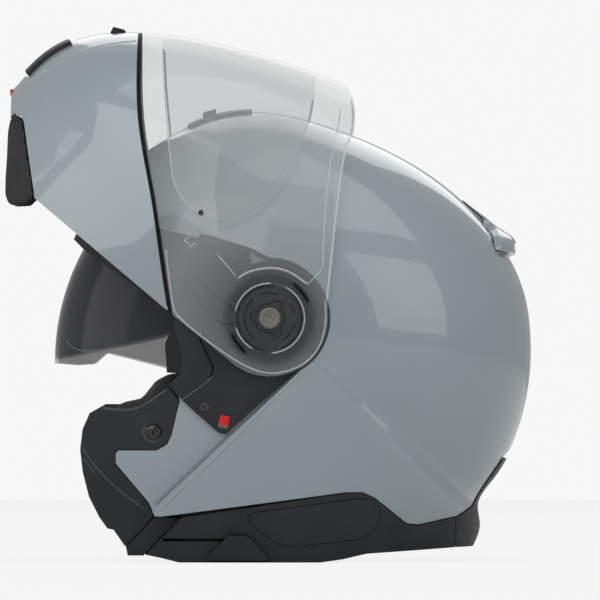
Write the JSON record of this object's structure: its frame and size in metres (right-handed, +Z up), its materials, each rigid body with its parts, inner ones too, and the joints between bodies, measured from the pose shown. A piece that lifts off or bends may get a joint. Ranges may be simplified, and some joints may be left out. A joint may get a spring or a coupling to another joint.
{
  "type": "modular motorcycle helmet",
  "caption": "Flip-up helmet: hinged chin bar with clear visor, inner sun visor worked by a side slider, vents, padded foam liner and buckled chin strap",
  "frame": {"origin": "bottom centre of the bounding box, on the surface the helmet stands on, under the side hinge", "axes": "+X wearer's left, -Y the way the wearer faces, +Z up"},
  "size_m": [0.2476, 0.324, 0.3305],
  "materials": {
    "shell_paint": "gloss light blue-grey lacquer over a moulded fibre shell",
    "black_plastic": "fine grained matte black",
    "rubber_black": "matte",
    "red_plastic": "gloss red",
    "steel": "zinc plated",
    "aluminium": "satin anodised",
    "foam_dark": "moulded bead foam",
    "lining_fabric": "brushed knit over foam",
    "webbing": "woven",
    "smoke_tint": "dark smoke polycarbonate",
    "clear_visor": "clear polycarbonate, gloss",
    "clear_insert": "clear anti-fog sheet"
  },
  "bodies": {
    "shell": {"outer_shell": "shell_paint", "rear_spoiler": "shell_paint", "brow_trim": "rubber_black", "top_vent_base": "black_plastic", "temple_cover_left": "black_plastic", "temple_cover_right": "black_plastic", "side_plate_left": "black_plastic", "side_plate_right": "black_plastic", "plate_screws": "steel", "front_cover_left": "black_plastic", "front_cover_right": "black_plastic", "lock_pin_left": "steel", "lock_pin_right": "steel", "trim_toe_left": "black_plastic", "trim_toe_right": "black_plastic", "intercom_cover_left": "black_plastic", "intercom_cover_right": "black_plastic", "lower_trim_left": "black_plastic", "lower_trim_right": "black_plastic", "rear_trim": "rubber_black", "hinge_bolt_left": "aluminium", "hinge_bolt_right": "aluminium", "hinge_nuts": "steel", "eps_liner": "foam_dark", "crown_liner": "lining_fabric", "cheek_pad_left": "lining_fabric", "cheek_pad_right": "lining_fabric", "neck_roll": "lining_fabric", "strap_anchors": "steel", "chin_strap_left": "webbing", "chin_strap_right": "webbing", "buckle_base": "black_plastic", "sun_visor_pins": "steel"},
    "chin_bar": {"chin_shell": "shell_paint", "chin_frame": "black_plastic", "latch_jaw_left": "steel", "latch_jaw_right": "steel", "visor_seal": "rubber_black", "chin_padding": "foam_dark", "wind_deflector": "rubber_black", "hinge_cam_left": "black_plastic", "hinge_cam_right": "black_plastic", "air_lip": "black_plastic"},
    "visor": {"visor": "clear_visor", "anti_fog_insert": "clear_insert", "insert_pins": "black_plastic"},
    "sun_visor": {"sun_visor": "smoke_tint", "sun_visor_carrier_left": "black_plastic", "sun_visor_carrier_right": "black_plastic"},
    "sun_visor_slider": {"sun_visor_slider": "black_plastic"},
    "top_vent_slider": {"top_vent_slider": "black_plastic"},
    "park_lock_left": {"park_lock_left": "red_plastic"},
    "park_lock_right": {"park_lock_right": "red_plastic"},
    "chin_vent_plate": {"chin_vent_plate": "black_plastic"},
    "chin_release_button": {"chin_release_button": "red_plastic"},
    "buckle_lever": {"buckle_lever": "red_plastic"}
  },
  "joints": [
    {"name": "chin_bar_hinge", "type": "hinge", "parent": "shell", "child": "chin_bar", "pos_m": [0, 0, 0.15004], "axis": [1, 0, 0], "range_deg": [0, 82]},
    {"name": "visor_hinge", "type": "hinge", "parent": "chin_bar", "child": "visor", "pos_m": [0, 0, 0.15004], "axis": [-1, 0, 0], "range_deg": [0, 36]},
    {"name": "sun_visor_hinge", "type": "hinge", "parent": "shell", "child": "sun_visor", "pos_m": [0, 0.01116, 0.12338], "axis": [-1, 0, 0], "range_deg": [0, 42]},
    {"name": "sun_visor_slide", "type": "hinge", "parent": "shell", "child": "sun_visor_slider", "pos_m": [-0.126, -0.009, 0.01], "axis": [0, 0, -1], "range_deg": [0, 7]},
    {"name": "top_vent_slide", "type": "hinge", "parent": "shell", "child": "top_vent_slider", "pos_m": [0, 0, 0.15004], "axis": [-1, 0, 0], "range_deg": [0, 3.5]},
    {"name": "park_lock_left_slide", "type": "slide", "parent": "shell", "child": "park_lock_left", "axis": [0, -0.208, -0.9781], "range_m": [0, 0.0014]},
    {"name": "park_lock_right_slide", "type": "slide", "parent": "shell", "child": "park_lock_right", "axis": [0, -0.208, -0.9781], "range_m": [0, 0.0014]},
    {"name": "chin_vent_slide", "type": "slide", "parent": "chin_bar", "child": "chin_vent_plate", "axis": [0, 0.7659, 0.6429], "range_m": [0, 0.003]},
    {"name": "chin_release_press", "type": "slide", "parent": "chin_bar", "child": "chin_release_button", "axis": [0, 1, 0], "range_m": [0, 0.0025], "stiffness_N_per_m": 400, "springref_m": -0.0005},
    {"name": "buckle_lever_hinge", "type": "hinge", "parent": "shell", "child": "buckle_lever", "pos_m": [-0.014, -0.0341, 0.0138], "axis": [0, -1, 0], "range_deg": [0, 70], "stiffness_Nm_per_rad": 0.02, "springref_deg": -5.73}
  ],
  "couplings": [
    {"joint": "sun_visor_slide", "follows": "sun_visor_hinge", "ratio": 0.1665}
  ]
}
